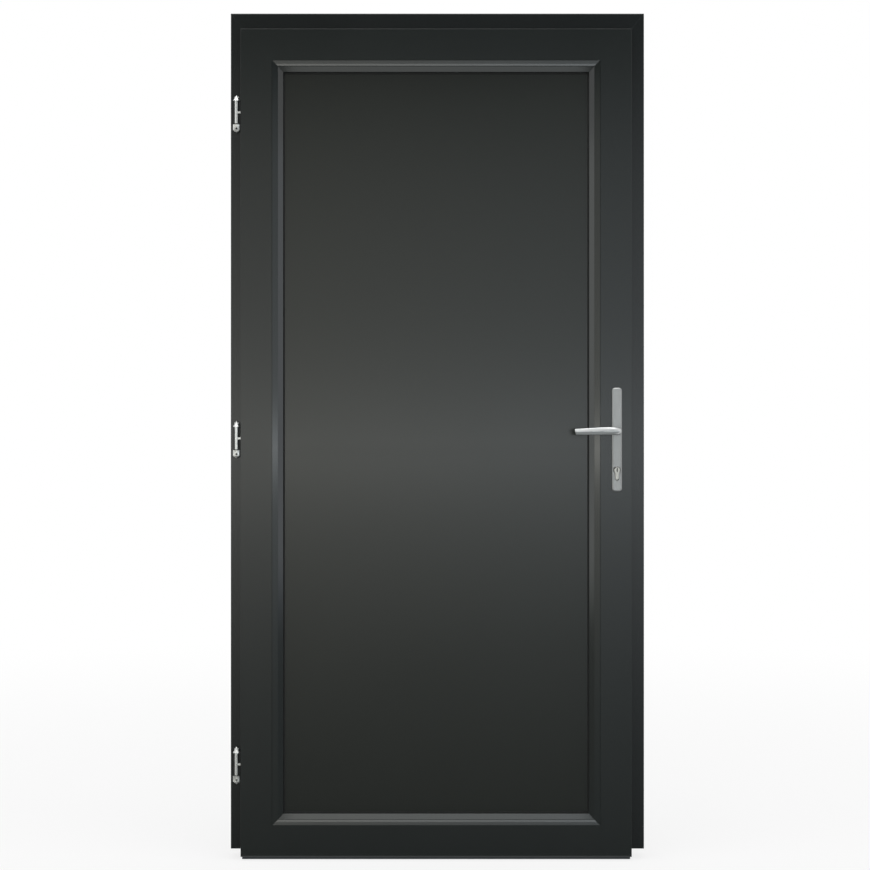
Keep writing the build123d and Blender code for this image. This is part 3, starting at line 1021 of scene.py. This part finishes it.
@dataclass
class Hinges:
    """The three pin hinges on the hinge jamb."""

    edge_mm: float = 0.35
    screw: Screw = field(default_factory=lambda: Screw(head_radius_mm=3.0))
    screw_drop_mm: float = 14.0
    front_share: float = 0.3
    front_margin_mm: float = 0.1
    joint_opening_mm: float = 1.8
    sleeve_end_mm: float = 1.0
    tip_mm: float = 4.0
    bush_radius_mm: float = 3.5
    bush_edge_mm: float = 0.4
    socket: Screw = field(
        default_factory=lambda: Screw(
            head_radius_mm=2.5, head_height_mm=0.4, recess_width_mm=1.4, recess_length_mm=2.6
        )
    )
    foot_height_mm: float = 20.0
    socket_height_mm: float = 10.5

    def build(self) -> None:
        """Finish the pins, sleeves and plates, and add the plates' screws."""
        zinc = HINGE_ZINC.build()
        powder = PLATE_POWDER.build()
        for place in ("top", "middle", "bottom"):
            pin = softened_copy(f"hinge_pin_{place}", self.edge_mm)
            arm = softened_copy(f"hinge_arm_{place}", self.edge_mm)
            axis_y = self.axis_y(pin)
            self.flatten_ends(pin, arm, axis_y)
            self.add_foot_parts(place, pin, arm, axis_y, powder)
            finish_piece(pin, "frame", zinc)
            finish_piece(arm, "leaf", zinc)
            plate = f"hinge_plate_{place}"
            finish_node(plate, self.edge_mm, powder)
            low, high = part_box(plate)
            middle = (low.z + high.z) / 2
            drop = self.screw_drop_mm * MM
            for level, height in (("lower", middle - drop), ("upper", middle + drop)):
                head = self.screw.build(
                    f"{plate}_screw_{level}",
                    Vector(((low.x + high.x) / 2, low.y, height)),
                    Vector((0, -1, 0)),
                )
                finish_piece(head, "frame", powder)

    def add_foot_parts(
        self,
        place: str,
        pin: bpy.types.Object,
        arm: bpy.types.Object,
        axis_y: float,
        material: bpy.types.Material,
    ) -> None:
        """Put the black bush that the sleeve rests on over the foot, and its set screw in front.

        Args:
            place: Which hinge it is.
            pin: The finished pin, with its foot.
            arm: The finished arm, with its sleeve.
            axis_y: Depth of the hinge axis.
            material: Black finish of both parts.
        """
        foot = [vertex.co for vertex in pin.data.vertices]
        foot_base = min(p.z for p in foot)
        foot_top = foot_base + self.foot_height_mm * MM
        centre_x = (min(p.x for p in foot) + max(p.x for p in foot)) / 2
        sleeve_end = min(vertex.co.z for vertex in arm.data.vertices)
        bush = new_primitive(
            f"hinge_bush_{place}",
            bpy.ops.mesh.primitive_cylinder_add,
            vertices=40,
            radius=self.bush_radius_mm * MM,
            depth=sleeve_end - foot_top,
            location=(centre_x, axis_y, (sleeve_end + foot_top) / 2),
        )
        soften(bush, self.bush_edge_mm, segments=3, angle_deg=TURNED_EDGE_DEG)
        finish_piece(bush, "frame", material)
        front_y = min(p.y for p in foot if p.z < foot_top)
        screw = self.socket.build(
            f"hinge_set_screw_{place}",
            Vector((centre_x, front_y, foot_base + self.socket_height_mm * MM)),
            Vector((0, -1, 0)),
        )
        finish_piece(screw, "frame", material)

    def flatten_ends(self, pin: bpy.types.Object, arm: bpy.types.Object, axis_y: float) -> None:
        """Flatten the fronts of head and foot to a shield shape, and open the joint over the foot.

        Args:
            pin: The finished pin, with its head and foot.
            arm: The finished arm, with its sleeve round the pin.
            axis_y: Depth of the hinge axis.
        """
        arm_low = min(vertex.co.z for vertex in arm.data.vertices)
        arm_high = max(vertex.co.z for vertex in arm.data.vertices)
        front_y = axis_y - self.front_margin_mm * MM
        move_vertices(
            pin,
            lambda place: place.y < front_y and not arm_low < place.z < arm_high,
            bpy.ops.transform.resize,
            value=(1.0, self.front_share, 1.0),
            center_override=(0.0, axis_y, 0.0),
        )
        move_vertices(
            arm,
            lambda place: place.z < arm_low + self.sleeve_end_mm * MM,
            bpy.ops.transform.translate,
            value=(0.0, 0.0, self.joint_opening_mm * MM),
        )

    def axis_y(self, pin: bpy.types.Object) -> float:
        """Depth of the hinge axis, which is the middle of the head's depth at its top.

        Args:
            pin: The softened pin, before its ends are flattened.

        Returns:
            Y of the axis.
        """
        top = max(vertex.co.z for vertex in pin.data.vertices)
        lowest = top - self.tip_mm * MM
        tip = [vertex.co.y for vertex in pin.data.vertices if vertex.co.z > lowest]
        return (min(tip) + max(tip)) / 2


@dataclass(frozen=True)
class Softbox:
    """A soft rectangular lamp."""

    name: str
    place: tuple[float, float, float]
    target: tuple[float, float, float]
    width: float
    height: float
    watts: float
    colour: str = "ffffff"

    def build(self) -> None:
        """Hang the lamp and aim it at its target."""
        lamp = bpy.data.lights.new(self.name, "AREA")
        lamp.shape = "RECTANGLE"
        lamp.size = self.width
        lamp.size_y = self.height
        lamp.energy = self.watts
        lamp.color = linear_colour(self.colour)[:3]
        holder = bpy.data.objects.new(self.name, lamp)
        holder.location = self.place
        aim = Vector(self.target) - Vector(self.place)
        holder.rotation_euler = aim.to_track_quat("-Z", "Y").to_euler()
        holder.visible_camera = False
        bpy.context.scene.collection.objects.link(holder)


@dataclass(frozen=True)
class GradedCard:
    """A large card that only reflections see, with tones as pairs of share and strength."""

    name: str
    centre: tuple[float, float, float]
    tilt_deg: float
    width: float
    length: float
    tones: tuple[tuple[float, float], ...]
    see_through: bool = False
    left_tint: str = "fffff8"
    right_tint: str = "f4fbff"
    tint_width: float = 2.0

    def build(self) -> None:
        """Put the card up, with its tones graded along its own Y and its tint along its X."""
        card = new_primitive(self.name, bpy.ops.mesh.primitive_plane_add, size=1.0)
        bpy.ops.transform.resize(value=(self.width, self.length, 1.0))
        bpy.ops.object.transform_apply(location=False, rotation=False, scale=True)
        card.rotation_euler = (math.radians(self.tilt_deg), 0.0, 0.0)
        card.location = self.centre
        material, tree = blank_material(f"{self.name}_graded")
        place = add_node(tree, "ShaderNodeTexCoord").outputs["Object"]
        own = add_node(tree, "ShaderNodeSeparateXYZ", links={"Vector": place}).outputs
        along, across = (
            add_node(
                tree,
                "ShaderNodeMapRange",
                {"From Min": -span / 2, "From Max": span / 2},
                {"Value": own[axis]},
            ).outputs["Result"]
            for axis, span in (("Y", self.length), ("X", self.tint_width))
        )
        ramp = add_node(tree, "ShaderNodeValToRGB", links={"Fac": along})
        peak = max(strength for _, strength in self.tones)
        stops = ramp.color_ramp.elements
        while len(stops) < len(self.tones):
            stops.new(1.0)
        for stop, (position, strength) in zip(stops, self.tones):
            stop.position = position
            tone = strength / peak
            stop.color = (tone, tone, tone, 1.0)
        left, right = linear_colour(self.left_tint), linear_colour(self.right_tint)
        tint = add_node(
            tree, "ShaderNodeMix", {"data_type": "RGBA", 6: left, 7: right}, {0: across}
        ).outputs[2]
        tinted = add_node(
            tree,
            "ShaderNodeMix",
            {"data_type": "RGBA", "blend_type": "MULTIPLY", 0: 1.0},
            {6: ramp.outputs["Color"], 7: tint},
        ).outputs[2]
        glow = add_node(
            tree, "ShaderNodeEmission", {"Strength": peak}, {"Color": tinted}
        ).outputs[0]
        if self.see_through:
            clear = add_node(tree, "ShaderNodeBsdfTransparent").outputs[0]
            glow = add_node(tree, "ShaderNodeAddShader", links={0: glow, 1: clear}).outputs[0]
        add_node(tree, "ShaderNodeOutputMaterial", links={"Surface": glow})
        card.data.materials.append(material)
        for ray in ("camera", "diffuse", "transmission", "shadow"):
            setattr(card, f"visible_{ray}", False)


# The flat faces mirror this card, and the beads' tilted bands its bright strip at camera height
FRONT_CARD = GradedCard(
    "front_card", centre=(0.0, -7.0, 2.6), tilt_deg=90.0, width=16.0, length=5.2,
    tones=(
        (0.0, 0.85), (0.12, 1.05), (0.146, 1.1), (0.178, 5.6), (0.21, 1.25),
        (0.39, 0.95), (0.53, 0.72), (0.59, 0.42), (0.63, 0.03), (1.0, 0.01),
    ),
)
# What the foot of the door mirrors of the floor, darker towards the door
FLOOR_CARD = GradedCard(
    "floor_card", centre=(0.0, -3.53, 0.01), tilt_deg=0.0, width=16.0, length=6.94,
    tones=((0.0, 0.66), (0.29, 0.56), (0.58, 0.40), (0.8, 0.33), (0.93, 0.27), (1.0, 0.22)),
)
# High overhead, for the slope of the bottom bead
UPPER_CARD = GradedCard(
    "upper_card", centre=(0.0, -2.5, 6.0), tilt_deg=0.0, width=6.0, length=1.4,
    tones=((0.0, 0.9), (1.0, 0.9)),
)
# Level with the camera and so edge-on to it, for the slope of the top bead
STRIP_CARD = GradedCard(
    "strip_card", centre=(0.0, -0.40, 0.965), tilt_deg=0.0, width=0.86, length=0.22,
    tones=((0.0, 0.0), (0.3, 1.1), (0.7, 1.1), (1.0, 0.0)), see_through=True,
)


@dataclass
class Studio:
    """A pale floor, a white surround, soft lamps, graded cards and a camera square to the door."""

    picture_px: float = 870.0
    px_per_mm: float = 0.4218
    centre_px: tuple[float, float] = (437.4, 435.0)
    camera_height: float = 1.0055
    camera_distance: float = 4.5
    floor_size: float = 60.0
    floor_glow: float = 0.8
    floor_fade: tuple[float, float] = (1.0, 5.0)
    floor_colour: str = "e4e4e4"
    surround_strength: float = 0.82
    softboxes: tuple[Softbox, ...] = (
        Softbox("top_box", (0.0, -0.9, 6.0), (0.0, -0.2, 0.5), 4.0, 1.6, 80.0),
        Softbox("left_box", (-4.6, -1.3, 1.3), (0.0, 0.0, 1.1), 1.2, 2.4, 5.5, "f4fbf4"),
        Softbox("right_box", (4.6, -1.3, 1.3), (0.0, 0.0, 1.1), 1.2, 2.4, 4.0, "dceaff"),
    )
    cards: tuple[GradedCard, ...] = (FRONT_CARD, FLOOR_CARD, UPPER_CARD, STRIP_CARD)

    def build(self) -> None:
        """Set up floor, surround, lamps, cards, camera and colour handling."""
        self.add_floor()
        self.add_surround()
        for box in self.softboxes:
            box.build()
        for card in self.cards:
            card.build()
        self.add_camera()
        bpy.context.scene.view_settings.view_transform = "Standard"

    def seen_white(self, tree: bpy.types.NodeTree) -> bpy.types.NodeSocket:
        """Say which rays meet the white background.

        Args:
            tree: Node tree of the floor or the surround.

        Returns:
            A socket that is 1 for camera, glossy and transmission rays and 0 for the rest.
        """
        rays = add_node(tree, "ShaderNodeLightPath").outputs
        seen = rays["Is Glossy Ray"]
        for kind in ("Is Camera Ray", "Is Transmission Ray"):
            seen = add_node(
                tree, "ShaderNodeMath", {"operation": "MAXIMUM"}, {0: seen, 1: rays[kind]}
            ).outputs[0]
        return seen

    def add_floor(self) -> None:
        """Lay a pale floor that fades to white away from the door and keeps its shadow near it."""
        floor = new_primitive(
            "studio_floor", bpy.ops.mesh.primitive_plane_add, size=self.floor_size
        )
        material, tree = blank_material("floor_painted_pale")
        place = add_node(tree, "ShaderNodeTexCoord").outputs["Object"]
        away = add_node(
            tree, "ShaderNodeVectorMath", {"operation": "LENGTH"}, {0: place}
        ).outputs["Value"]
        near, far = self.floor_fade
        glow = add_node(
            tree,
            "ShaderNodeMapRange",
            {
                "interpolation_type": "SMOOTHSTEP",
                "From Min": near,
                "From Max": far,
                "To Min": self.floor_glow,
                "To Max": 1.0,
            },
            {"Value": away},
        ).outputs["Result"]
        share = add_node(
            tree, "ShaderNodeMath", {"operation": "MULTIPLY"}, {0: self.seen_white(tree), 1: glow}
        ).outputs[0]
        paint = add_node(
            tree,
            "ShaderNodeBsdfDiffuse",
            {"Color": linear_colour(self.floor_colour), "Roughness": 0.5},
        )
        white = add_node(tree, "ShaderNodeEmission", {"Strength": 1.0})
        blend = add_node(
            tree,
            "ShaderNodeMixShader",
            links={0: share, 1: paint.outputs[0], 2: white.outputs[0]},
        )
        add_node(tree, "ShaderNodeOutputMaterial", links={"Surface": blend.outputs[0]})
        floor.data.materials.append(material)

    def add_surround(self) -> None:
        """Show white behind the door and in its metal, and light the scene with a soft dome."""
        world = bpy.data.worlds.new("studio_surround")
        world.use_nodes = True
        tree = world.node_tree
        tree.nodes.clear()
        dome, white = (
            add_node(
                tree,
                "ShaderNodeBackground",
                {"Color": linear_colour("ffffff"), "Strength": strength},
            )
            for strength in (self.surround_strength, 1.0)
        )
        blend = add_node(
            tree,
            "ShaderNodeMixShader",
            links={0: self.seen_white(tree), 1: dome.outputs[0], 2: white.outputs[0]},
        )
        add_node(tree, "ShaderNodeOutputWorld", links={"Surface": blend.outputs[0]})
        bpy.context.scene.world = world

    def add_camera(self) -> None:
        """Place the camera level and square to the door, with the photograph's framing."""
        low, high = CAD_BOX
        frame_face_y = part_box("frame_head")[0].y
        picture_mm = self.picture_px / self.px_per_mm
        lens = bpy.data.cameras.new("camera")
        lens.lens = lens.sensor_width * self.camera_distance / (picture_mm * MM)
        camera = bpy.data.objects.new("camera", lens)
        offset_px = self.picture_px / 2 - self.centre_px[0]
        camera.location = (
            (low.x + high.x) / 2 + offset_px / self.px_per_mm * MM,
            frame_face_y - self.camera_distance,
            self.camera_height,
        )
        camera.rotation_euler = (math.pi / 2, 0.0, 0.0)
        bpy.context.scene.collection.objects.link(camera)
        bpy.context.scene.camera = camera


def main() -> None:
    """Build the door's looks, then the studio, in order."""
    logging.basicConfig(level=logging.INFO, format="%(message)s")
    for assembly in (Profiles(), Seals(), Threshold(), Lock(), Handles(), Hinges()):
        assembly.build()
    Studio().build()


if __name__ == "__main__":
    main()
